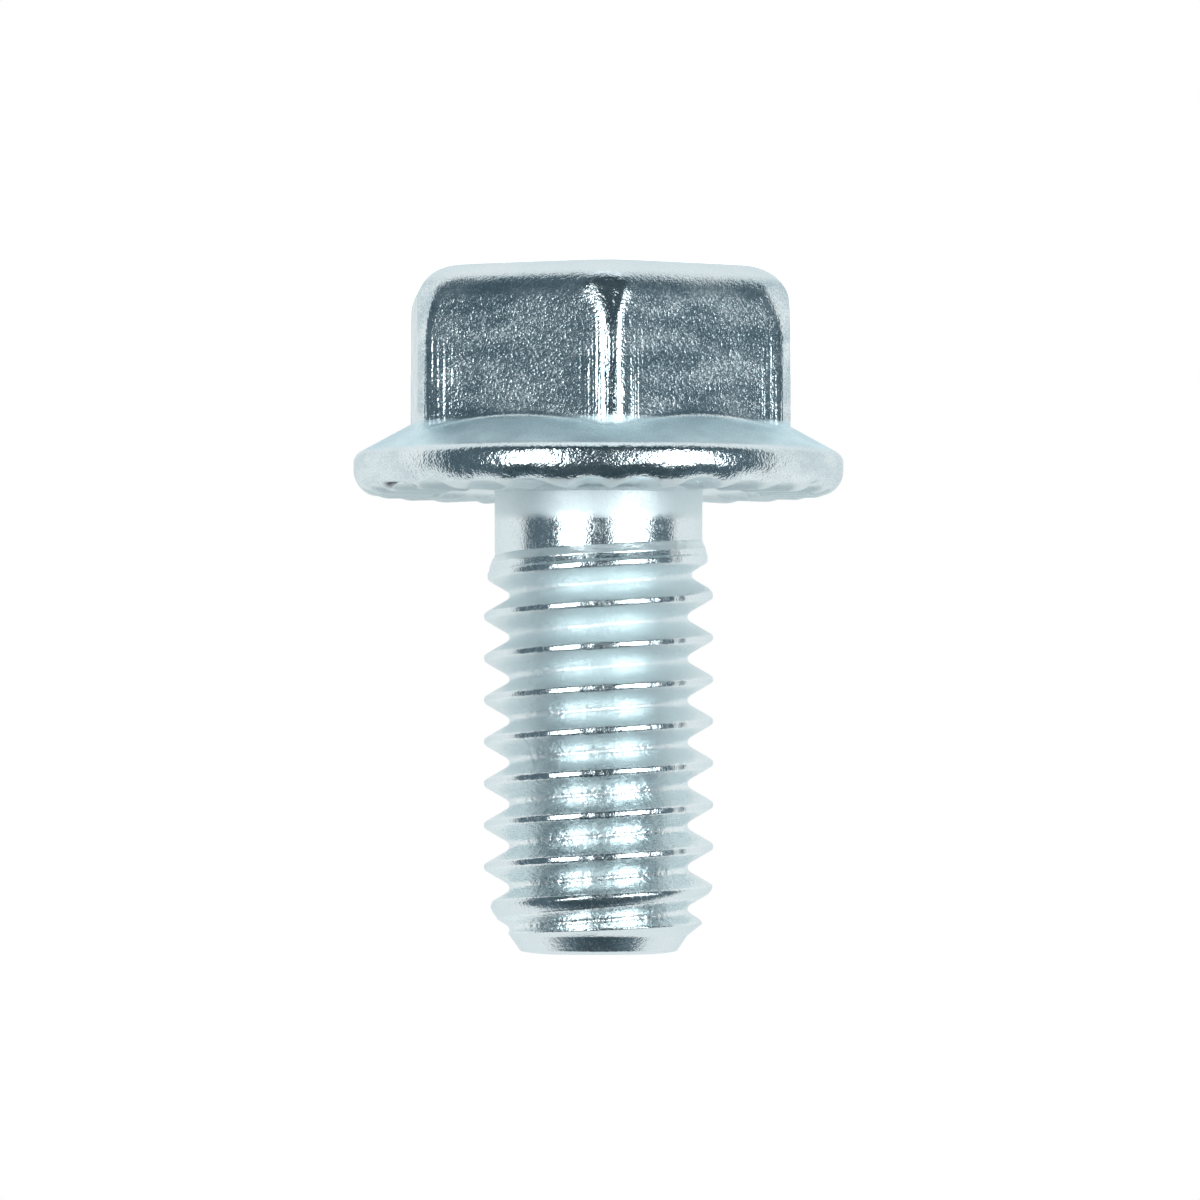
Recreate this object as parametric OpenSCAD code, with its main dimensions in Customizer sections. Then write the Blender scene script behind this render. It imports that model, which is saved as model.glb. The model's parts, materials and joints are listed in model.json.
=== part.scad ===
// Serrated hex flange bolt, 5/16-18 UNC by 5/8 inch, headed and thread-rolled from one piece of steel.
// The origin is the centre of the flat bearing ring under the flange, and +Z runs along the shank to
// its tip, so the bolt stands on the flat top of its head. All lengths are in millimetres.

/* [Thread] */
// Diameter over the thread crests
thread_d = 7.76; // [7:0.02:9]
// Threads in one inch of length
threads_per_inch = 18; // [16:1:24]
// Length from the bearing ring to the tip
shank_len = 15.75; // [10:0.05:24]
// Angle about the axis at which the rolled groove starts
thread_start_deg = 244; // [0:1:360]
// Turns over which the groove sinks to its full depth
fade_turns = 1; // [0.4:0.05:1.5]

/* [Neck] */
// Length of the plain neck under the flange
neck_len = 1.4; // [0.8:0.1:2.4]
// How much thinner the neck is than the thread crests
neck_step = 0.73; // [0.4:0.01:1.2]
// Length over which the crests rise from the neck to full height
runout_len = 2.2; // [1:0.1:3]
// Fillet between the neck and the bearing ring
neck_fillet = 0.17; // [0.1:0.01:0.4]

/* [Tip] */
// How much smaller the end face is than the thread crests
tip_step = 3.16; // [3:0.02:3.6]
// Rounding of the edge of the end face
tip_round = 0.5; // [0.3:0.05:0.6]
// Angle to the axis of the cone at the end, which is as thick as the thread's core
point_deg = 35; // [25:1:45]
// Angle to the axis of the chamfer that ends the last turn of the thread
chamfer_deg = 52; // [40:1:60]
// Length of the slow taper before the chamfer
lead_len = 1.35; // [0.6:0.05:2]
// How much the slow taper takes off the crest diameter
lead_step = 0.76; // [0.3:0.02:1.2]

/* [Head] */
// Width across the flats of the hexagon
flats_w = 12.5; // [12:0.1:13.4]
// Height from the bearing ring to the top of the head
head_h = 7.35; // [6:0.05:9]
// Rounding of the upright corners of the hexagon
corner_r = 0.95; // [0.3:0.05:1.2]
// Rounding of the top edge along each flat
edge_r = 1; // [0.5:0.05:1.4]
// Diameter of the flat on top of the head
top_flat_d = 11.5; // [10:0.1:11.8]
// Radius of the crowned top that cuts off the corners
crown_r = 2.2; // [2:0.1:3.2]

/* [Flange] */
// Diameter of the flange
flange_d = 16.6; // [15.8:0.1:20]
// Height of the straight band round the flange
rim_band = 0.25; // [0.1:0.05:1]
// Rounding of the rim towards the shank
rim_low_r = 0.85; // [0.5:0.05:1.2]
// Rounding of the rim towards the head
rim_high_r = 0.42; // [0.2:0.02:0.8]
// Slope of the cone between the rim and the hexagon
cone_deg = 28.5; // [20:0.5:35]

/* [Serrations] */
// Number of teeth round the underside of the flange
tooth_count = 26; // [20:1:32]
// Height of the teeth above the bearing ring
tooth_h = 0.25; // [0.15:0.01:0.4]
// Diameter of the flat bearing ring inside the teeth
ring_d = 10.8; // [9.4:0.1:12]
// Depth of the notches at the rim
notch_depth = 0.34; // [0.2:0.01:0.4]
// Share of the tooth spacing that a notch takes up
notch_share = 0.85; // [0.6:0.01:0.95]
// Angle about the axis at which the first notch lies
notch_start_deg = -1; // [-9:0.5:9]

/* [Hidden] */

$fn = 96;
// Straight steps in a small arc, in the thread's round root and in one turn of the thread
arc_steps = 6;
root_steps = 3;
steps_per_turn = 36;

// Thread form of the unified system: 60 degree flanks, a narrow crest flat and a round root
inch = 25.4;
pitch = inch / threads_per_inch;
flank_deg = 30;
crest_share = 1 / 8;
root_share = 0.144;
groove_half = pitch * (1 - crest_share) / 2;
root_r = root_share * pitch;
root_centre_depth = groove_half / tan(flank_deg) - root_r / sin(flank_deg);
groove_depth = root_centre_depth + root_r;
// The groove's outline goes on a little past the crests, so that it cuts through them
groove_over = pitch / 20;

thread_r = thread_d / 2;
neck_r = thread_r - neck_step / 2;
tip_r = thread_r - tip_step / 2;
lead_r = thread_r - lead_step / 2;
core_r = thread_r - groove_depth;

// Tip: the rounding meets the cone, the cone starts at the core, and the chamfer runs down to it
tip_round_z = shank_len - tip_round;
point_end_r = tip_r + tip_round * cos(point_deg);
point_end_z = tip_round_z + tip_round * sin(point_deg);
point_z = point_end_z - (core_r - point_end_r) / tan(point_deg);
chamfer_z = point_z - (lead_r - core_r) / tan(chamfer_deg);

// The groove starts clear of the neck's surface, sinks from there and runs out past the tip
groove_clear = 0.1;
groove_lift = neck_r + groove_clear - core_r;
// The groove sinks slowly at first
fade_power = 1.5;
groove_start_z = neck_len + pitch / 4;
groove_end_z = shank_len + pitch;
groove_steps = ceil(steps_per_turn * (groove_end_z - groove_start_z) / pitch);

// Rim and cone of the flange
rim_r = flange_d / 2;
rim_low_z = tooth_h - rim_low_r;
rim_high_z = rim_low_z - rim_band;
cone_start_r = rim_r - rim_high_r * (1 - sin(cone_deg));
cone_start_z = rim_high_z - rim_high_r * cos(cone_deg);
cone_end_r = flats_w / 4;
cone_end_z = cone_start_z - (cone_start_r - cone_end_r) * tan(cone_deg);

// The notches are cones that meet at the middle of the plane of the tooth tips
ring_r = ring_d / 2;
tooth_pitch = 2 * PI * rim_r / tooth_count;
notch_w = notch_share * tooth_pitch;
notch_r = (pow(notch_w / 2, 2) + pow(notch_depth, 2)) / (2 * notch_depth);
notch_half_deg = atan(notch_r / rim_r);
notch_tilt_deg = notch_half_deg - atan(notch_depth / rim_r);

// Hexagon: it reaches down into the flange, and its corners lie between the flats
hex_root_z = rim_low_z;
half_side_deg = 30;
corner_centre_r = (flats_w / 2 - corner_r) / cos(half_side_deg);
// The edge roundings end just past the top face, so that they meet it at an angle
edge_past_top = 0.03;
// The crown starts at a slope from the flat top and ends steeply beside the corners
top_flat_r = top_flat_d / 2;
crown_start_deg = 16;
crown_end_deg = 80;
crown_centre_r = top_flat_r - crown_r * sin(crown_start_deg);
crown_centre_h = head_h - crown_r * cos(crown_start_deg);

// Points of an arc about a centre, from one angle to another
function arc(centre, r, from_deg, to_deg, steps = arc_steps) = [
    for (i = [0 : steps])
        let (a = from_deg + (to_deg - from_deg) * i / steps)
        centre + r * [cos(a), sin(a)]
];

// Outline of the rolled groove: place along the axis, and depth below the crests
groove_outline = concat(
    [[-groove_half - groove_over * tan(flank_deg), -groove_over]],
    arc([0, root_centre_depth], root_r, 180 - flank_deg, flank_deg, root_steps),
    [[groove_half + groove_over * tan(flank_deg), -groove_over]]
);

// How far the groove still stands out of the shank at a number of turns from its start
function lift_at(turns) = groove_lift * (1 - pow(min(1, turns / fade_turns), fade_power));

function groove_point(p, step) =
    let (turns = step / steps_per_turn)
    let (a = thread_start_deg + 360 * turns)
    let (r = thread_r - p[1] + lift_at(turns))
    [r * cos(a), r * sin(a), groove_start_z + pitch * turns + p[0]];

// The helical cut that thread rolling leaves in the shank
module thread_groove() {
    n = len(groove_outline);
    points = [for (step = [0 : groove_steps]) for (p = groove_outline) groove_point(p, step)];
    sides = [
        for (step = [0 : groove_steps - 1])
            for (k = [0 : n - 1])
                let (a = step * n + k)
                let (b = step * n + (k + 1) % n)
                each [[a, b + n, b], [a, a + n, b + n]]
    ];
    start_cap = [for (k = [0 : n - 1]) k];
    end_cap = [for (k = [0 : n - 1]) groove_steps * n + n - 1 - k];
    polyhedron(points, concat(sides, [start_cap, end_cap]));
}

// Shank before the thread is cut: neck, run-out, crests, slow taper, chamfer, cone and rounded end
module shank_blank() {
    fillet_r = neck_r + neck_fillet;
    rotate_extrude()
        polygon(concat(
            [[0, rim_high_z], [fillet_r, rim_high_z]],
            arc([fillet_r, neck_fillet], neck_fillet, 270, 180),
            [
                [neck_r, neck_len],
                [thread_r, neck_len + runout_len],
                [thread_r, chamfer_z - lead_len],
                [lead_r, chamfer_z],
                [core_r, point_z]
            ],
            arc([tip_r, tip_round_z], tip_round, point_deg, 90),
            [[0, shank_len]]
        ));
}

module shank() {
    difference() {
        shank_blank();
        thread_groove();
    }
}

// Round flange: bearing ring, ring of teeth before they are cut, rounded rim and cone
module flange_blank() {
    rotate_extrude()
        polygon(concat(
            [[0, 0], [ring_r, 0], [ring_r + tooth_h, tooth_h]],
            arc([rim_r - rim_low_r, rim_low_z], rim_low_r, 90, 0),
            arc([rim_r - rim_high_r, rim_high_z], rim_high_r, 0, cone_deg - 90),
            [[cone_end_r, cone_end_z], [0, cone_end_z]]
        ));
}

module notch() {
    near = ring_r / cos(notch_tilt_deg);
    far = (rim_r + rim_low_r) / cos(notch_tilt_deg);
    translate([0, 0, tooth_h])
        rotate([0, 90 - notch_tilt_deg, 0])
            translate([0, 0, near])
                cylinder(h = far - near, r1 = near * tan(notch_half_deg), r2 = far * tan(notch_half_deg));
}

module flange() {
    difference() {
        flange_blank();
        for (i = [0 : tooth_count - 1])
            rotate(notch_start_deg + 360 * i / tooth_count)
                notch();
    }
}

// Slab between two opposite flats, with its two top edges rounded
module flat_pair() {
    half = flats_w / 2;
    flat_half = half - edge_r;
    span = 2 * flats_w;
    right = concat(
        [[half, -hex_root_z]],
        arc([flat_half, head_h + edge_past_top - edge_r], edge_r, 0, 90),
        [[flat_half, head_h + edge_r]]
    );
    left = [for (i = [len(right) - 1 : -1 : 0]) [-right[i][0], right[i][1]]];
    rotate([-90, 0, 0])
        translate([0, 0, -span / 2])
            linear_extrude(span)
                polygon(concat(right, left));
}

// Hexagonal prism with rounded upright corners
module corner_prism() {
    outline = [
        for (i = [0 : 5])
            let (a = half_side_deg * (2 * i + 1))
            each arc(corner_centre_r * [cos(a), sin(a)], corner_r, a - half_side_deg, a + half_side_deg)
    ];
    translate([0, 0, -head_h - edge_r])
        linear_extrude(head_h + edge_r + hex_root_z)
            polygon(outline);
}

// Round body with a flat top and an arched shoulder
module crown() {
    shoulder = arc([crown_centre_r, crown_centre_h], crown_r, 90 - crown_end_deg, 90 - crown_start_deg);
    mirror([0, 0, 1])
        rotate_extrude()
            polygon(concat(
                [[0, -hex_root_z], [crown_centre_r + crown_r, -hex_root_z]],
                shoulder,
                [[0, head_h]]
            ));
}

module hexagon() {
    intersection() {
        crown();
        corner_prism();
        intersection_for (a = [0, 60, 120])
            rotate(a)
                flat_pair();
    }
}

module bolt() {
    color([0.76, 0.81, 0.83])
        union() {
            hexagon();
            flange();
            shank();
        }
}

bolt();
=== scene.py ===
import json
import math

import bpy
import numpy as np
from mathutils import Matrix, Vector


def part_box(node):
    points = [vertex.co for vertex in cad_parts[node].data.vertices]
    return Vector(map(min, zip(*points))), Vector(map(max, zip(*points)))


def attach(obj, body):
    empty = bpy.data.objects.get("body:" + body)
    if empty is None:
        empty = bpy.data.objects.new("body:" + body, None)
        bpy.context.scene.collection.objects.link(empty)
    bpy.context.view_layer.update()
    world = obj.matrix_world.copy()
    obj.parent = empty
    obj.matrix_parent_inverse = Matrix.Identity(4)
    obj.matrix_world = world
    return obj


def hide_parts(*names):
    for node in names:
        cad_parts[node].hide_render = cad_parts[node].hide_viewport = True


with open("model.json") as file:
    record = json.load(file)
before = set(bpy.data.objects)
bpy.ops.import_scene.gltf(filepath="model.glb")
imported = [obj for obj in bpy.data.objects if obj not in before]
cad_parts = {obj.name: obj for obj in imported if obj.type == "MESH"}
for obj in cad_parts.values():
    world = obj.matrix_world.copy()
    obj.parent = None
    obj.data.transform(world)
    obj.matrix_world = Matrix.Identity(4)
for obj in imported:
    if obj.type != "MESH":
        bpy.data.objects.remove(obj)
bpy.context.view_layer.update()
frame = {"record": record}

# The bolt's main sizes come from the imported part. All lengths below are millimetres until a mesh is made.
MM = 0.001
LOW, HIGH = (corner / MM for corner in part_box("bolt"))
MOUNTS = {mount["name"]: mount for mount in frame["record"]["mounts"]}
HEAD_H = -LOW.z
SHANK_LEN = HIGH.z
RIM_R = min(HIGH.x, -LOW.x)
THREAD_R = MOUNTS["thread"]["dims"]["r_mm"]
FLATS_HALF = 12.5 / 2

# Thread of the unified system: 60 degree flanks, narrow crests and round roots
PITCH = 25.4 / 18
FLANK = math.radians(30)
GROOVE_HALF = PITCH * (1 - 1 / 8) / 2
ROOT_R = 0.144 * PITCH
ROOT_CENTRE_DEPTH = GROOVE_HALF / math.tan(FLANK) - ROOT_R / math.sin(FLANK)
ROOT_DEPTH = ROOT_CENTRE_DEPTH + ROOT_R
THREAD_START = math.radians(244)
FADE_TURNS = 1.0
FADE_CURVE = 1.5
CREST_HALF = PITCH / 2 - GROOVE_HALF
CORE_R = THREAD_R - ROOT_DEPTH
# Share of satin finish, and of painted sheen, in the thread's roots
ROOT_SATIN_AND_SHEEN = 1.4
EDGE_WIDTH = 0.045
EDGE_DROP = 0.02

# Neck, run-out and tip
NECK_STEP = 0.365
NECK_R = THREAD_R - NECK_STEP
NECK_LEN = 1.4
NECK_FILLET = 0.17
NECK_TOP = 0.9
# How far rolling has filled the crest, by the turns from the groove's start; unfilled crests are rounded
CREST_FILL = {-0.1: 0, 0.3: 0.48, 0.8: 0.66, 1.35: 1}
# The neck rises to an unfilled crest by a slope, a bench and a small step: share of the crest's height,
# by the distance from the crest's lip in crest heights
RISE_PROFILE = {0: 1, 0.28: 0.83, 1.37: 0.58, 2.6: 0}
BENCH_HIGH, BENCH_LOW, RISE_FOOT = list(RISE_PROFILE)[1:]
BENCH_EDGE = 0.04
LIP_HALF = 0.04
CREST_WOBBLE = 0.02
WOBBLES_PER_TURN = (5, 11, 17, 29, 43)
LEAD_R = THREAD_R - 0.38
LEAD_LEN = 1.35
LEAD_ROUND = 0.5
LEAD_FADE = 0.3
CHAMFER_Z = SHANK_LEN - 1.03
POINT_Z = SHANK_LEN - 0.65
TIP_R = 2.64
TIP_Z = SHANK_LEN - 0.12
ROW_SNAP = 0.05
ROW_STEP = 0.01
GROOVE_START_Z = NECK_LEN + PITCH / 4
GROOVE_LIFT = NECK_R + 0.1 - CORE_R

# Flange with its ring of teeth
RING_R = 5.4
TOOTH_COUNT = 26
TOOTH_H = 0.25
NOTCH_DEPTH = 0.34
NOTCH_SHARE = 0.85
NOTCH_START = math.radians(-1)
TOOTH_BLEND = 0.05
# Nicks in the flange's lower edge: angle and half length in degrees, depth, radius, and its change by degree
NICKS = ((-29.0, 6.0, 0.14, 7.91, 0.012), (-6.0, 1.6, 0.14, 7.75, 0.0))
NICK_WIDTH = 0.1
NICK_DARK = 0.08
RIM_DENT = 0.14
RIM_DENT_Z = (-0.6, 0.0)
# The rim is not quite round: it is a little flatter below the corners of the hexagon
RIM_FLAT = 0.1
RIM_LOW_R = 0.85
RIM_LOW_Z = TOOTH_H - RIM_LOW_R
RIM_HIGH_R = 0.42
RIM_HIGH_Z = RIM_LOW_Z - 0.25
CONE = math.radians(28.5)
CONE_START_R = RIM_R - RIM_HIGH_R * (1 - math.sin(CONE))
CONE_START_Z = RIM_HIGH_Z - RIM_HIGH_R * math.cos(CONE)
CONE_FILLET = 0.16

# Hexagon with rounded corners, rounded top edges and a crown
CORNER_R = 0.95
CORNER_SKEW = 0.25
CORNER_SPAN = math.radians(3)
CORNER_GROWTH = {4.6: 1, 5.2: 1.08, 5.55: 1.35, 5.9: 1.85, 6.3: 2.5, 6.7: 3.3, 7.2: 4.0}
EDGE_R = 1.3
EDGE_PAST_TOP = 0.03
TOP_FLAT_R = 5.75
CROWN_R = 2.2
CROWN_START = math.radians(16)
CROWN_CENTRE_R = TOP_FLAT_R - CROWN_R * math.sin(CROWN_START)
CROWN_CENTRE_H = HEAD_H - CROWN_R * math.cos(CROWN_START)
HEX_BLEND = 0.25
EDGE_ROWS_START = 5.4

# Mesh density: columns round the shank and round the head, which has a whole number for each tooth
SHANK_COLUMNS = 240
HEAD_COLUMNS = TOOTH_COUNT * 18

# The photograph's view: the camera stands off the front corner, a little towards the tip, and is
# turned head over heels, so that the head is at the top of the picture
VIEW_ANGLE = math.radians(-86.5)
VIEW_DISTANCE = 253.6
EYE_Z = 11.03
AIM_Z = 3.77
AIM_SIDE = 0.05
FIELD = math.radians(9.15)

SEED = 5


def smooth_min(a, b, blend):
    """The smaller of two surfaces, with the edge between them rounded off."""
    share = np.clip(0.5 + 0.5 * (b - a) / blend, 0, 1)
    return b * (1 - share) + a * share - blend * share * (1 - share)


class Skin:
    """Collects vertices in millimetres and faces, and turns them into one mesh object."""

    def __init__(self):
        self.points = []
        self.satin_and_sheen = []
        self.faces = []

    def ring(self, angles, r, z, satin_and_sheen=0.0):
        """Adds a closed row of vertices round the axis, with its share of satin finish and of painted sheen, and
        returns their numbers.
        """
        r, z = np.broadcast_to(r, angles.shape), np.broadcast_to(z, angles.shape)
        first = len(self.points)
        self.points.extend(np.stack([r * np.cos(angles), r * np.sin(angles), z], axis=1))
        self.satin_and_sheen.extend(np.broadcast_to(satin_and_sheen, angles.shape))
        return np.arange(first, len(self.points))

    def band(self, lower, upper):
        """Joins two rings of the same number of vertices."""
        for a, b, c, d in zip(lower, np.roll(lower, -1), np.roll(upper, -1), upper):
            self.add_face((a, b, c, d))

    def add_face(self, corners):
        """Adds a face without the corners that it repeats, and leaves it out if nothing is left of it."""
        kept = [int(c) for i, c in enumerate(corners) if c != corners[i - 1]]
        if len(set(kept)) > 2:
            self.faces.append(tuple(kept))

    def zip_rings(self, lower, lower_angles, upper, upper_angles):
        """Joins two rings of different numbers of vertices with triangles."""
        turn = 2 * math.pi
        low, up = np.mod(lower_angles, turn), np.mod(upper_angles, turn)
        low_order, up_order = np.argsort(low), np.argsort(up)
        low_angle = np.append(low[low_order], low[low_order[0]] + turn)
        up_angle = np.append(up[up_order], up[up_order[0]] + turn)
        low_ids, up_ids = lower[low_order], upper[up_order]
        i = j = 0
        while i < len(low_ids) or j < len(up_ids):
            a, b = low_ids[i % len(low_ids)], up_ids[j % len(up_ids)]
            if j == len(up_ids) or (i < len(low_ids) and low_angle[i + 1] <= up_angle[j + 1]):
                self.add_face((a, low_ids[(i + 1) % len(low_ids)], b))
                i += 1
            else:
                self.add_face((a, up_ids[(j + 1) % len(up_ids)], b))
                j += 1

    def cap(self, ring, z):
        """Closes a ring with a fan about a point on the axis."""
        self.points.append(np.array([0.0, 0.0, z]))
        self.satin_and_sheen.append(0.0)
        middle = len(self.points) - 1
        for a, b in zip(ring, np.roll(ring, -1)):
            self.add_face((a, b, middle))

    def build(self, name):
        used = np.unique(np.concatenate(self.faces))
        places = {old: new for new, old in enumerate(used.tolist())}
        faces = [[places[corner] for corner in face] for face in self.faces]
        mesh = bpy.data.meshes.new(name)
        mesh.from_pydata((np.array(self.points)[used] * MM).tolist(), [], faces)
        mesh.attributes.new("satin_and_sheen", "FLOAT", "POINT").data.foreach_set("value", np.array(self.satin_and_sheen)[used])
        mesh.validate()
        mesh.shade_smooth()
        piece = bpy.data.objects.new(name, mesh)
        bpy.context.scene.collection.objects.link(piece)
        return piece


def crest_fill(turns):
    """How far the crest is filled: 0 on the neck, 1 where the thread is full."""
    return np.interp(turns, list(CREST_FILL), list(CREST_FILL.values()))


def crest_wobble(turns):
    """How much the crest falls short of its full height, which varies a little along the helix."""
    waves = [np.sin(2 * math.pi * (count * turns + 0.618 * count)) for count in WOBBLES_PER_TURN]
    return CREST_WOBBLE * (0.5 + 0.25 * sum(waves))


def crest_flat(turns):
    """Half the width of the crest, which is wider where it is not filled."""
    return CREST_HALF + NECK_STEP * (1 - crest_fill(turns)) * math.tan(FLANK)


def crest_lip(turns):
    """Place of the crest's edge towards the head, along the axis from the middle of the crest."""
    return crest_flat(turns) - 2 * CREST_HALF


def crest_height(turns):
    """Height of the crest over the neck."""
    return NECK_STEP * crest_fill(turns) + ROW_STEP ** 2


def shank_radius(z, turns):
    """Radius over the crest at a number of turns: the rise from the neck, the crest, the slow taper and the chamfer."""
    below = GROOVE_START_Z + PITCH * turns + crest_lip(turns) - z
    share = np.interp(below / crest_height(turns), list(RISE_PROFILE), list(RISE_PROFILE.values()))
    risen = NECK_R + crest_fill(turns) * share * (NECK_STEP - crest_wobble(turns))
    taper = np.interp(z, [CHAMFER_Z - LEAD_LEN, CHAMFER_Z, POINT_Z], [THREAD_R, LEAD_R, CORE_R])
    short = np.minimum(THREAD_R - taper, THREAD_R - LEAD_R) * np.clip((CHAMFER_Z - z) / LEAD_FADE, 0, 1)
    aside = (z - GROOVE_START_Z - PITCH * turns) / (CREST_HALF + short * math.tan(FLANK))
    return np.minimum(risen, taper - LEAD_ROUND * short * np.minimum(aside ** 2, 1))


def groove_depth(s):
    """Depth of the thread groove below the crests at a distance along the axis from its middle."""
    s = np.abs(s)
    arc = ROOT_CENTRE_DEPTH + np.sqrt(np.maximum(ROOT_R ** 2 - s ** 2, 0))
    return np.where(s < ROOT_R * math.cos(FLANK), arc, (GROOVE_HALF - s) / math.tan(FLANK))


def groove_radius(s, turns):
    """Radius of the groove's surface, which rises out of the shank where the thread begins."""
    lift = GROOVE_LIFT * (1 - np.clip(turns / FADE_TURNS, 0, 1) ** FADE_CURVE)
    return THREAD_R - groove_depth(s) + lift


def groove_edge(turns, side):
    """Distance from the groove's middle to the place where its flank meets the blank, by bisection."""
    centre = GROOVE_START_Z + PITCH * turns
    near, far = np.zeros_like(turns), np.full_like(turns, PITCH / 2)
    for _ in range(24):
        middle = (near + far) / 2
        inside = groove_radius(middle, turns) < shank_radius(centre + side * middle, turns + side / 2)
        near, far = np.where(inside, middle, near), np.where(inside, far, middle)
    return np.maximum(near, 2 * EDGE_WIDTH)


def groove_cut(edge):
    """1 where the groove is wide enough to have flanks and edges, 0 where it has not begun."""
    return np.clip(edge / EDGE_WIDTH - 2, 0, 1)


def thread_rows():
    """Heights, radii and satin-and-sheen shares of the thread's rows, which follow the helix: arrays of row by column.
    """
    first_turn, last_turn = -2, 10
    column = np.arange(SHANK_COLUMNS) / SHANK_COLUMNS
    root_shares = (0, 0.14, 0.285, 0.62)
    rows = []

    def add(turns, s, crest_turns, satin_and_sheen, drop=0.0):
        z = GROOVE_START_Z + PITCH * turns + s
        r = np.minimum(shank_radius(z, crest_turns), groove_radius(s, turns)) - drop
        rows.append((z, r, np.broadcast_to(satin_and_sheen, z.shape)))

    for turn in range(first_turn, last_turn + 1):
        here, above = turn + column, turn + 1 + column
        crest = (here + above) / 2
        right, left = groove_edge(here, 1), groove_edge(above, -1)
        cut, cut_above = groove_cut(right), groove_cut(left)
        edge, edge_above = np.minimum(EDGE_WIDTH, right / 4), np.minimum(EDGE_WIDTH, left / 4)
        for share in root_shares:
            add(here, share * right, crest, cut * ROOT_SATIN_AND_SHEEN)
        add(here, right - edge, crest, cut)
        add(here, right, crest, 0.6 * cut, EDGE_DROP * cut)
        start, end = right + EDGE_WIDTH, PITCH - left - EDGE_WIDTH
        lip = np.maximum(PITCH / 2 + crest_lip(crest), start + 3 * ROW_STEP)
        lip_half = np.clip((lip - start) / 2, ROW_STEP, LIP_HALF)
        height, apart = crest_height(crest), ROW_STEP / 8
        bench_high = np.clip(lip - BENCH_HIGH * height, start + 5 * apart, lip - apart)
        bench_out = np.clip(bench_high - BENCH_EDGE, start + 4 * apart, bench_high - apart)
        bench_in = np.clip(lip - BENCH_LOW * height + BENCH_EDGE, start + 3 * apart, bench_out - apart)
        bench_low = np.clip(lip - BENCH_LOW * height, start + 2 * apart, bench_in - apart)
        foot = np.clip(lip - RISE_FOOT * height, start + apart, bench_low - apart)
        unfilled = np.where(crest_fill(crest) < 1, np.clip(crest_fill(crest) / 0.2, 0, 1), 0)
        add(here, start, crest, 0.6 * unfilled * cut)
        add(here, foot, crest, 0.7 * unfilled)
        add(here, bench_low, crest, 0.7 * unfilled)
        top = lip + lip_half
        for place in (bench_in, bench_out, bench_high, lip, top, (top + end) / 2, end):
            add(here, place, crest, 0)
        add(above, -left, crest, 0.6 * cut_above, EDGE_DROP * cut_above)
        add(above, -left + edge_above, crest, cut_above)
        for share in root_shares[:0:-1]:
            add(above, -share * left, crest, cut_above * ROOT_SATIN_AND_SHEEN)
    rows_per_turn = len(rows) // (last_turn + 1 - first_turn)
    return rows, rows_per_turn


def add_shank(skin):
    """The thread and the tip. Returns the angles and vertices of the ring at the neck."""
    angles = THREAD_START + 2 * math.pi * np.arange(SHANK_COLUMNS) / SHANK_COLUMNS
    rows, per_turn = thread_rows()
    neck = skin.ring(angles, NECK_R, NECK_TOP)
    point = skin.ring(angles, CORE_R, POINT_Z)
    numbers = []
    for z, r, satin_and_sheen in rows:
        made = skin.ring(angles, r, z, satin_and_sheen)
        low, high = z < NECK_TOP + ROW_SNAP, z > POINT_Z - ROW_SNAP
        numbers.append(np.where(low, neck, np.where(high, point, made)))
    for row in range(len(rows) - 1):
        for i in range(SHANK_COLUMNS - 1):
            skin.add_face((numbers[row][i], numbers[row][i + 1], numbers[row + 1][i + 1], numbers[row + 1][i]))
        if row + per_turn + 1 < len(rows):
            skin.add_face((numbers[row][-1], numbers[row + per_turn][0],
                           numbers[row + per_turn + 1][0], numbers[row + 1][-1]))
    add_tip(skin, angles, point)
    return angles, neck


def add_tip(skin, angles, row):
    """The short cone from the thread's core and the domed end."""
    cone = [(CORE_R + (TIP_R - CORE_R) * share, POINT_Z + (TIP_Z - POINT_Z) * share) for share in (0.08, 0.5, 0.94, 1)]
    dome = [(TIP_R * share, SHANK_LEN - (SHANK_LEN - TIP_Z) * share ** 6) for share in (0.985, 0.95, 0.85, 0.7, 0.4)]
    for r, z in cone + dome:
        below = skin.ring(angles, r, z)
        skin.band(row, below)
        row = below
    skin.cap(row, SHANK_LEN)


def notch_place(angles, teeth):
    """Angle from the middle of the nearest notch, and that notch's share of the full depth."""
    jitter, depth_share = teeth
    pitch_angle = 2 * math.pi / TOOTH_COUNT
    turns = (angles - NOTCH_START) / pitch_angle
    number = np.round(turns).astype(int) % TOOTH_COUNT
    return (turns - np.round(turns)) * pitch_angle + jitter[number], depth_share[number]


def tooth_surface(angles, r, teeth):
    """Height of the floor of the pressed notches at a radius; no two notches are quite alike."""
    offset, depth_share = notch_place(angles, teeth)
    size = r / RIM_R
    depth = NOTCH_DEPTH * depth_share * size
    half_width = NOTCH_SHARE * math.pi / TOOTH_COUNT * RIM_R * size
    curve = (half_width ** 2 + depth ** 2) / (2 * depth)
    across = np.minimum(np.abs(r * np.sin(offset)), 0.99 * curve)
    return TOOTH_H - depth + curve - np.sqrt(curve ** 2 - across ** 2)


def rim_dent(angles, z, teeth):
    """How far the lower edge of the rim is drawn in above each notch."""
    offset, depth_share = notch_place(angles, teeth)
    wave = 0.5 + 0.5 * np.cos(offset * TOOTH_COUNT)
    return RIM_DENT * wave * depth_share * np.interp(z, RIM_DENT_Z, (0, 1)) ** 2


def rim_flat(angles):
    """How far the rim falls short of a circle."""
    return RIM_FLAT * (0.5 - 0.5 * np.cos(6 * angles))


def nick_depth(angles, r):
    """Depth of the nicks at a radius."""
    depth = 0
    for middle, half, deepest, middle_r, slope in NICKS:
        away = (np.degrees(angles) - middle + 180) % 360 - 180
        aside = r - middle_r - slope * away
        depth = depth + deepest * np.exp(-(away / half) ** 4 - (aside / NICK_WIDTH) ** 2)
    return depth


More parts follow.
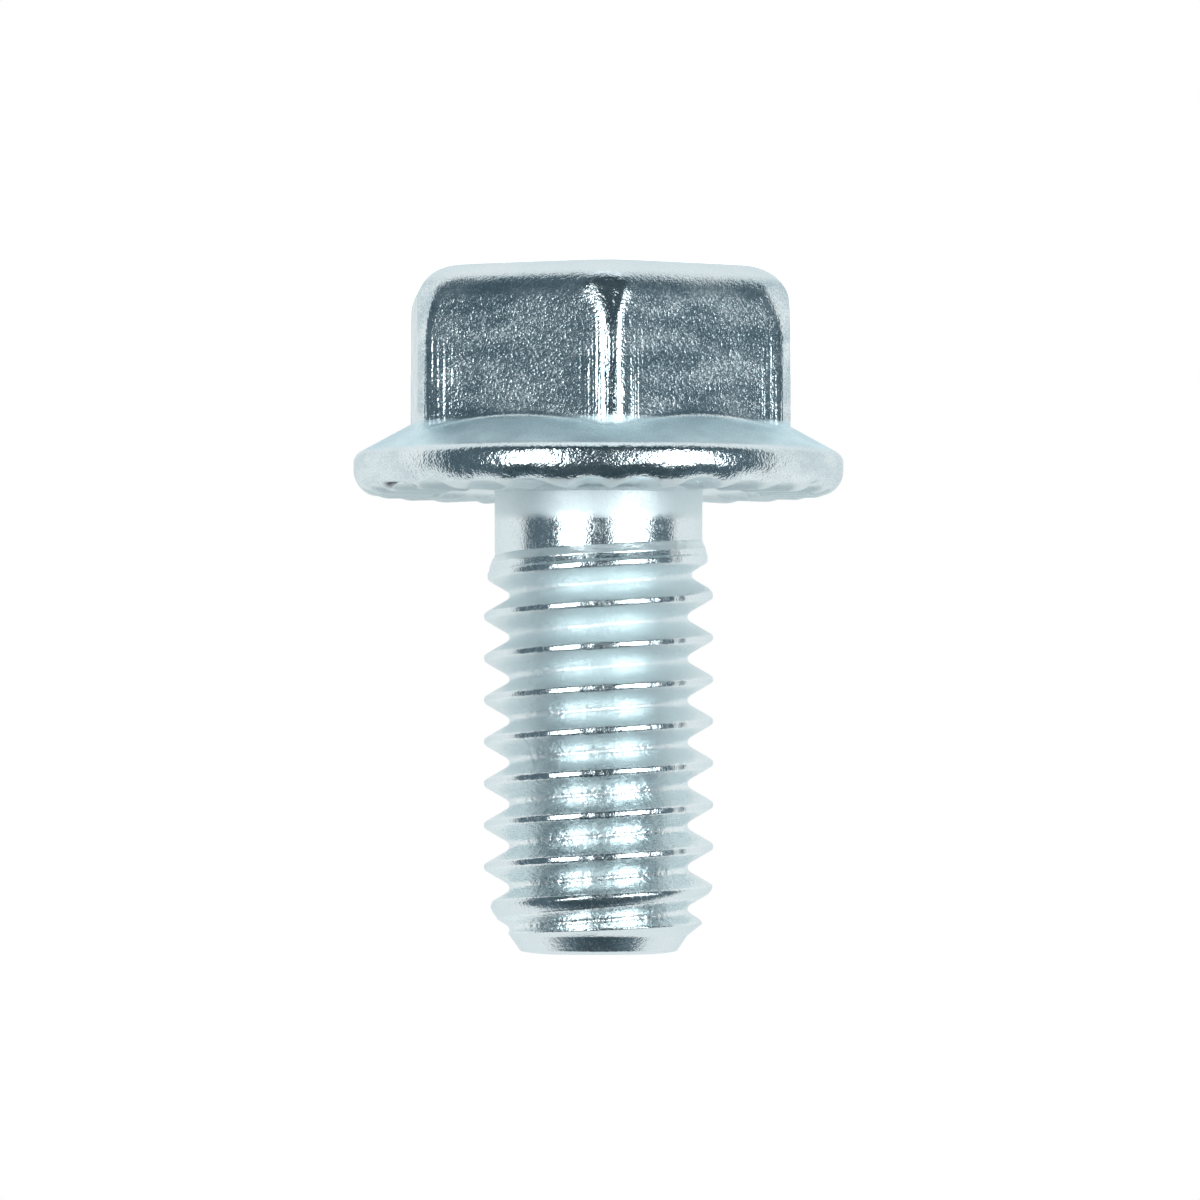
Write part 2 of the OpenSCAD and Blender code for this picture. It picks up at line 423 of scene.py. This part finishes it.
def flange_profile():
    """Radius and height of the flange before its teeth are pressed, from the bearing ring to the rim."""
    ring = [(RING_R - 0.08, 0), (RING_R - 0.02, 0), (RING_R + 0.03, 0.03), (RING_R + 0.09, 0.09),
            (RING_R + 0.16, 0.16), (RING_R + 0.22, 0.215), (RING_R + 0.3, 0.245), (RING_R + 0.4, TOOTH_H)]
    flat_end = RIM_R - RIM_LOW_R
    flat = [(r, TOOTH_H) for r in np.linspace(RING_R + 0.65, flat_end, 6)]
    arc = [(flat_end + RIM_LOW_R * math.sin(a), RIM_LOW_Z + RIM_LOW_R * math.cos(a))
           for a in np.linspace(0, math.pi / 2, 16)[1:]]
    return ring + flat + arc


def hexagon_corner(angles, h):
    """Polar radius of the hexagon, whose upright corners are rounder where the die was not filled, near the top."""
    side = math.radians(60)
    signed = angles - side * np.round(angles / side)
    off = np.abs(signed)
    to_corner = side / 2 - off
    skew = 1 - CORNER_SKEW * (signed > 0) * np.clip(to_corner / CORNER_SPAN, 0, 1)
    corner_r = CORNER_R * skew * np.interp(h, list(CORNER_GROWTH), list(CORNER_GROWTH.values()))
    centre = (FLATS_HALF - corner_r) / math.cos(side / 2)
    under = np.maximum(corner_r ** 2 - (centre * np.sin(to_corner)) ** 2, 0)
    rounded = centre * np.cos(to_corner) + np.sqrt(under)
    on_flat = FLATS_HALF * np.tan(off) < (FLATS_HALF - corner_r) * math.tan(side / 2)
    return np.where(on_flat, FLATS_HALF / np.cos(off), rounded), off


def hexagon_radius(angles, h):
    """Polar radius of the head at a height above the bearing ring: corners, rounded edges and crown."""
    corner, off = hexagon_corner(angles, h)
    edge_centre = HEAD_H + EDGE_PAST_TOP - EDGE_R
    rise = np.clip((h - edge_centre) / EDGE_R, 0, 1)
    flats = (FLATS_HALF - EDGE_R + EDGE_R * np.sqrt(1 - rise ** 2)) / np.cos(off)
    rise = np.clip((h - CROWN_CENTRE_H) / CROWN_R, 0, 1)
    crown = CROWN_CENTRE_R + CROWN_R * np.sqrt(1 - rise ** 2)
    return smooth_min(np.minimum(flats, corner), crown, HEX_BLEND)


def add_head(skin, neck_angles, neck):
    """Neck, bearing ring, teeth, rim, cone, hexagon and crowned top, closed in the middle of the top."""
    for z in (0.6, 0.35, NECK_FILLET + 0.03):
        below = skin.ring(neck_angles, NECK_R, z)
        skin.band(below, neck)
        neck = below
    for a in np.linspace(0, math.pi / 2, 5):
        r = NECK_R + NECK_FILLET * (1 - math.cos(a))
        below = skin.ring(neck_angles, r, NECK_FILLET * (1 - math.sin(a)), 1)
        skin.band(below, neck)
        neck = below
    below = skin.ring(neck_angles, NECK_R + 1.4 * NECK_FILLET, 0, 1)
    skin.band(below, neck)
    neck = below

    angles = 2 * math.pi * np.arange(HEAD_COLUMNS) / HEAD_COLUMNS
    rng = np.random.default_rng(SEED)
    teeth = (np.radians(rng.uniform(-1.1, 1.1, TOOTH_COUNT)), rng.uniform(0.75, 1.1, TOOTH_COUNT))
    row = skin.ring(angles, NECK_R + 2.5 * NECK_FILLET, 0, 1)
    skin.zip_rings(row, angles, neck, neck_angles)

    def go_on(r, z, satin_and_sheen=0.0):
        nonlocal row
        below = skin.ring(angles, r, z, satin_and_sheen)
        skin.band(below, row)
        row = below

    flat, flat_end = rim_flat(angles), RIM_R - RIM_LOW_R
    for r, z in flange_profile():
        on_rim = r > flat_end
        dent = (rim_dent(angles, z, teeth) + flat) * (r - flat_end) / RIM_LOW_R if on_rim else 0
        pressed = smooth_min(np.full(HEAD_COLUMNS, z), tooth_surface(angles, r, teeth), TOOTH_BLEND)
        # The share of satin finish also paints the teeth with the bright copy of the zinc, as painted light
        satin_and_sheen = np.clip((z - pressed) / TOOTH_BLEND, 0, 1) if on_rim else 1
        nick = nick_depth(angles, r)
        scar = np.clip(nick / NICK_DARK, 0, 1)
        go_on(r - dent, pressed - nick, satin_and_sheen * (1 - scar) - scar)
    go_on(RIM_R - flat, (RIM_LOW_Z + RIM_HIGH_Z) / 2)
    for a in np.linspace(0, math.pi / 2 - CONE, 8):
        go_on(RIM_R - flat - RIM_HIGH_R * (1 - math.cos(a)), RIM_HIGH_Z - RIM_HIGH_R * math.sin(a))

    side_r = hexagon_radius(angles, 0)
    meet_z = CONE_START_Z - (CONE_START_R - side_r) * math.tan(CONE)
    foot_r = side_r + CONE_FILLET
    foot_z = meet_z + CONE_FILLET * math.tan(CONE)
    for share in np.linspace(0, 1, 8)[1:]:
        start_r = CONE_START_R - flat
        go_on(start_r + (foot_r - start_r) * share, CONE_START_Z + (foot_z - CONE_START_Z) * share)
    for share in (0.25, 0.5, 0.75, 1):
        away, along = (1 - share) ** 2, share ** 2
        go_on(side_r + CONE_FILLET * away, meet_z + CONE_FILLET * math.tan(CONE) * away - CONE_FILLET * along)
    side_h = CONE_FILLET - meet_z
    for share in np.linspace(0, 1, 9)[1:]:
        h = side_h + (EDGE_ROWS_START - side_h) * share
        go_on(hexagon_radius(angles, h), -h)
    for share in np.linspace(0, 1, 19)[1:]:
        h = EDGE_ROWS_START + (HEAD_H - EDGE_ROWS_START) * math.sin(share * math.pi / 2)
        go_on(hexagon_radius(angles, np.full(HEAD_COLUMNS, h)), -h)
    top = hexagon_radius(angles, np.full(HEAD_COLUMNS, HEAD_H))
    for share in (0.985, 0.9, 0.6, 0.25):
        go_on(top * share, -HEAD_H)
    skin.cap(row[::-1], -HEAD_H)


def make_bolt():
    skin = Skin()
    neck_angles, neck = add_shank(skin)
    add_head(skin, neck_angles, neck)
    return skin.build("bolt_skin")


class Shader:
    """Adds nodes to a shader tree. Inputs are sockets to join or plain values."""

    def __init__(self, tree):
        self.tree = tree
        tree.nodes.clear()

    def node(self, kind, inputs, **settings):
        node = self.tree.nodes.new(kind)
        for name, value in settings.items():
            setattr(node, name, value)
        for name, value in inputs.items():
            if isinstance(value, bpy.types.NodeSocket):
                self.tree.links.new(value, node.inputs[name])
            else:
                node.inputs[name].default_value = value
        return node

    def math(self, operation, *values):
        inputs = dict(enumerate(values))
        return self.node("ShaderNodeMath", inputs, operation=operation).outputs[0]

    def vector(self, operation, a, b):
        node = self.node("ShaderNodeVectorMath", {0: a, 1: b}, operation=operation)
        return node.outputs["Value" if operation == "DOT_PRODUCT" else "Vector"]

    def scaled(self, vector, scale):
        return self.vector("MULTIPLY", vector, scale)

    def noise(self, vector, scale, detail=2.0, roughness=0.5):
        inputs = {"Vector": vector, "Scale": scale, "Detail": detail, "Roughness": roughness}
        return self.node("ShaderNodeTexNoise", inputs).outputs[0]

    def scratches(self, across, along, slant_deg):
        """Sparse fine lines on a surface with two coordinates in millimetres, at a slant to the first one."""
        turn = math.radians(slant_deg)
        length = self.math("ADD", self.math("MULTIPLY", across, math.cos(turn)),
                           self.math("MULTIPLY", along, math.sin(turn)))
        width = self.math("SUBTRACT", self.math("MULTIPLY", along, math.cos(turn)),
                          self.math("MULTIPLY", across, math.sin(turn)))
        place = self.node("ShaderNodeCombineXYZ", {"X": self.math("MULTIPLY", length, 0.8),
                                                   "Y": self.math("MULTIPLY", width, 13.0), "Z": slant_deg})
        return self.ramp(self.noise(place.outputs["Vector"], 1.0, 0.0), 0.68, 0.80)

    def ramp(self, value, from_min, from_max, to_min=0.0, to_max=1.0):
        """Smooth step between two values."""
        inputs = {"Value": value, "From Min": from_min, "From Max": from_max, "To Min": to_min, "To Max": to_max}
        return self.node("ShaderNodeMapRange", inputs, interpolation_type="SMOOTHSTEP").outputs["Result"]

    def mix(self, factor, a, b):
        node = self.tree.nodes.new("ShaderNodeMix")
        node.data_type = "RGBA"
        sockets = {"Factor_Float": factor, "A_Color": a, "B_Color": b}
        for socket in node.inputs:
            value = sockets.get(socket.identifier)
            if isinstance(value, bpy.types.NodeSocket):
                self.tree.links.new(value, socket)
            elif value is not None:
                socket.default_value = value
        return next(s for s in node.outputs if s.identifier == "Result_Color")

    def bump(self, height, distance_mm, normal=None):
        inputs = {"Height": height, "Distance": distance_mm * MM, "Strength": 1.0}
        if normal is not None:
            inputs["Normal"] = normal
        return self.node("ShaderNodeBump", inputs).outputs["Normal"]


def zinc_material():
    """Bright clear zinc on cold-formed steel: pale blue metal with a fine speckle, drawn lines and painted sheen."""
    material = bpy.data.materials.new("zinc_steel")
    material.use_nodes = True
    sh = Shader(material.node_tree)
    place = sh.scaled(sh.node("ShaderNodeTexCoord", {}).outputs["Object"], (1 / MM,) * 3)
    axes = sh.node("ShaderNodeSeparateXYZ", {"Vector": place})
    x, y, z = axes.outputs["X"], axes.outputs["Y"], axes.outputs["Z"]
    satin_and_sheen = sh.node("ShaderNodeAttribute", {}, attribute_name="satin_and_sheen").outputs["Fac"]
    thread = sh.math("MAXIMUM", satin_and_sheen, 0.0)
    scar = sh.math("MAXIMUM", sh.math("MULTIPLY", satin_and_sheen, -1.0), 0.0)

    # Where the finish differs: the flanks of the thread, the rubbed top of the neck and the teeth, the
    # cone of the flange, and the corners of the hexagon, which the die has dragged. The thread, the neck's
    # top and the teeth are also painted with a paler copy of the zinc, and the cone with a paler, bluer one:
    # painted light and sheen
    rubbed_and_painted_light = sh.math("MULTIPLY", sh.ramp(z, -0.05, 0.12), sh.ramp(z, 1.25, 0.75))
    rim = sh.math("MULTIPLY", sh.ramp(z, -1.15, -1.0), sh.ramp(z, 0.2, 0.0))
    cone = sh.math("MULTIPLY", sh.ramp(z, -1.1, -1.3), sh.ramp(z, -2.2, -2.0))
    angle = sh.math("ARCTAN2", y, x)
    off_middle = sh.math("PINGPONG", angle, math.radians(30))
    corner = sh.ramp(off_middle, math.radians(17), math.radians(24))
    hexagon = sh.math("MULTIPLY", sh.ramp(z, -1.9, -2.3), sh.ramp(z, -7.0, -6.7))
    speckled = sh.math("MAXIMUM", hexagon, sh.math("MULTIPLY", rim, 0.6))
    lumpy = sh.math("ADD", sh.math("MULTIPLY", thread, 6.0), sh.math("MULTIPLY", rim, 3.5))
    dragged = sh.math("MULTIPLY", corner, sh.math("MULTIPLY", sh.ramp(z, -6.3, -3.2), sh.ramp(z, -1.3, -1.9)))

    grain = sh.noise(place, 16.0, 1.0)
    pits = sh.noise(place, 8.0, 1.0)
    fine = sh.noise(place, 20.0, 2.0, 0.7)
    clouds = sh.noise(sh.scaled(place, (0.5, 0.5, 1.1)), 1.0, 3.0, 0.6)
    drawn = sh.noise(sh.scaled(place, (7.0, 7.0, 0.2)), 1.0, 1.0)
    around = sh.math("MULTIPLY", angle, FLATS_HALF)
    scratches = sh.math("MAXIMUM", sh.scratches(around, z, 35), sh.scratches(around, z, -55))

    pale, slate, bright = (0.72, 0.80, 0.825, 1), (0.66, 0.755, 0.785, 1), (0.78, 0.86, 0.875, 1)
    blue, steel = (0.78, 0.94, 0.98, 1), (0.58, 0.74, 0.80, 1)
    dull, nick_black = (0.40, 0.51, 0.56, 1), (0.05, 0.06, 0.07, 1)
    tone = sh.math("ADD", sh.math("MULTIPLY", clouds, 0.5), sh.math("MULTIPLY", fine, 0.6))
    tone = sh.ramp(tone, 0.40, 0.70)
    colour = sh.mix(speckled, sh.mix(tone, slate, pale), sh.mix(tone, dull, bright))
    # Painted light: the thread, the neck's top and the teeth under the flange take the bright copy of the zinc
    colour = sh.mix(sh.math("MAXIMUM", thread, rubbed_and_painted_light), colour, bright)
    # Painted sheen: the cone of the flange takes a paler, bluer copy of the zinc
    colour = sh.mix(cone, colour, sh.mix(tone, steel, blue))
    # The nicks are coloured near black
    colour = sh.mix(scar, colour, nick_black)

    specks = sh.math("ADD", sh.math("MULTIPLY", grain, 0.5), sh.math("MULTIPLY", pits, 0.5))
    specks = sh.math("ADD", specks, sh.math("MULTIPLY", sh.math("SUBTRACT", clouds, 0.5), 0.5))
    matte = sh.math("ADD", sh.ramp(specks, 0.2, 0.9), sh.math("MULTIPLY", scratches, 0.3))
    worn = sh.math("MULTIPLY", sh.ramp(off_middle, math.radians(25), math.radians(27)), hexagon)
    smooth = sh.math("MAXIMUM", sh.math("MULTIPLY", worn, 0.6), sh.math("MULTIPLY", rim, 0.3))
    matte = sh.math("MULTIPLY", matte, sh.math("SUBTRACT", 1.0, smooth))
    rough = sh.math("ADD", 0.13, sh.math("MULTIPLY", matte, 0.2))
    rough = sh.math("ADD", rough, sh.math("MULTIPLY", rubbed_and_painted_light, 0.38))
    rough = sh.math("ADD", rough, sh.math("MULTIPLY", cone, 0.31))
    rough = sh.math("ADD", rough, sh.math("MULTIPLY", thread, sh.ramp(z, 4.0, 12.0, 0.22, 0.06)))

    lines = sh.math("MULTIPLY", drawn, sh.math("MULTIPLY", dragged, 6.0))
    uneven = sh.math("MULTIPLY", sh.noise(place, 4.0), lumpy)
    lines = sh.math("ADD", lines, uneven)
    pitted = sh.math("MULTIPLY", pits, sh.math("ADD", speckled, 1.0))
    height = sh.math("ADD", sh.math("ADD", grain, pitted), lines)
    normal = sh.bump(height, 0.005)

    inputs = {"Base Color": colour, "Metallic": 1.0, "Roughness": rough, "Normal": normal,
              "Specular Tint": (0.82, 0.88, 0.90, 1)}
    shader = sh.node("ShaderNodeBsdfPrincipled", inputs)
    sh.node("ShaderNodeOutputMaterial", {"Surface": shader.outputs["BSDF"]})
    return material


def seen_directly(sh):
    """1 for the rays that show a surface or the sky itself: camera, mirror and glass rays."""
    path = sh.node("ShaderNodeLightPath", {}).outputs
    mirrored = sh.math("MAXIMUM", path["Is Glossy Ray"], path["Is Transmission Ray"])
    return path["Is Camera Ray"], mirrored


def view_axes():
    """Unit vectors towards the camera, to the picture's right and to its top."""
    front = (math.cos(VIEW_ANGLE), math.sin(VIEW_ANGLE), 0.0)
    right = (math.sin(VIEW_ANGLE), -math.cos(VIEW_ANGLE), 0.0)
    return front, right, (0.0, 0.0, -1.0)


def make_studio():
    """A white surround, open to a dim room on the side that the camera first stands, with two soft boxes there."""
    world = bpy.data.worlds.new("studio")
    world.use_nodes = True
    bpy.context.scene.world = world
    sh = Shader(world.node_tree)
    direction = sh.node("ShaderNodeTexCoord", {}).outputs["Generated"]
    front, right, top = (sh.vector("DOT_PRODUCT", direction, axis) for axis in view_axes())
    azimuth = sh.math("ARCTAN2", right, front)
    rise = sh.math("ARCSINE", top)

    deg = math.radians
    white = sh.ramp(front, 0.02, -0.03)
    lean = sh.math("MULTIPLY", sh.math("MAXIMUM", rise, 0.0), 0.9)
    inwards, outwards = sh.math("SUBTRACT", azimuth, lean), sh.math("ADD", azimuth, lean)
    left_box = sh.math("MULTIPLY", sh.ramp(azimuth, deg(-15), deg(-20)), sh.ramp(inwards, deg(-43), deg(-39)))
    right_box = sh.math("MULTIPLY", sh.ramp(inwards, deg(16), deg(21)), sh.ramp(outwards, deg(57), deg(52)))
    lit = sh.math("MULTIPLY", sh.ramp(rise, deg(-18), deg(-8)), sh.ramp(rise, deg(60), deg(35)))
    dark, dim, paper = (0.05, 0.075, 0.09, 1), (0.10, 0.145, 0.175, 1), (1, 1, 1, 1)
    left_lamp, right_lamp, overhead = (8.2, 8.5, 8.6, 1), (7.7, 8, 8.1, 1), (1.15, 1.22, 1.24, 1)
    room = sh.mix(sh.ramp(sh.math("ABSOLUTE", azimuth), deg(44), deg(56)), dark, dim)
    room = sh.mix(sh.ramp(rise, deg(58), deg(80)), room, overhead)
    colour = sh.mix(sh.math("MULTIPLY", left_box, lit), room, left_lamp)
    colour = sh.mix(sh.math("MULTIPLY", right_box, lit), colour, right_lamp)
    colour = sh.mix(white, colour, paper)
    camera, mirrored = seen_directly(sh)
    shown = sh.math("MAXIMUM", camera, sh.math("MULTIPLY", mirrored, white))
    sky = sh.mix(shown, colour, paper)
    background = sh.node("ShaderNodeBackground", {"Color": sky, "Strength": 1.0})
    sh.node("ShaderNodeOutputWorld", {"Surface": background.outputs["Background"]})


def floor_material():
    """White paper that keeps the soft shadow round the head and shows white elsewhere."""
    material = bpy.data.materials.new("floor")
    material.use_nodes = True
    sh = Shader(material.node_tree)
    paper = sh.node("ShaderNodeBsdfDiffuse", {"Color": (0.85, 0.85, 0.85, 1)})
    camera, mirrored = seen_directly(sh)
    glow_share = sh.math("MULTIPLY", sh.math("MAXIMUM", camera, mirrored), 0.75)
    glow = sh.node("ShaderNodeEmission", {"Strength": glow_share})
    both = sh.node("ShaderNodeAddShader", {0: paper.outputs[0], 1: glow.outputs[0]})
    sh.node("ShaderNodeOutputMaterial", {"Surface": both.outputs[0]})
    return material


def make_floor():
    radius, sides = 60.0, 128
    angles = 2 * math.pi * np.arange(sides) / sides
    skin = Skin()
    skin.cap(skin.ring(angles, radius, -HEAD_H), -HEAD_H)
    floor = skin.build("floor")
    floor.data.materials.append(floor_material())
    floor.visible_glossy = floor.visible_shadow = False


def make_camera():
    camera = bpy.data.objects.new("camera", bpy.data.cameras.new("camera"))
    bpy.context.scene.collection.objects.link(camera)
    camera.data.sensor_width = 36.0
    camera.data.lens = camera.data.sensor_width / 2 / math.tan(FIELD / 2)
    camera.data.clip_start, camera.data.clip_end = 0.01, 10.0
    front, right, top = (np.array(axis) for axis in view_axes())
    eye = front * VIEW_DISTANCE + np.array([0, 0, EYE_Z]) + right * AIM_SIDE
    aim = np.array([0, 0, AIM_Z]) + right * AIM_SIDE
    back = (eye - aim) / np.linalg.norm(eye - aim)
    up = top - back * (top @ back)
    up /= np.linalg.norm(up)
    side = np.cross(up, back)
    matrix = np.identity(4)
    matrix[:3, 0], matrix[:3, 1], matrix[:3, 2], matrix[:3, 3] = side, up, back, eye * MM
    camera.matrix_world = Matrix(matrix.tolist())
    bpy.context.scene.camera = camera


bolt = make_bolt()
bolt.data.materials.append(zinc_material())
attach(bolt, "root")
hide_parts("bolt")

make_floor()
make_studio()
make_camera()
bpy.context.scene.view_settings.view_transform = "Standard"
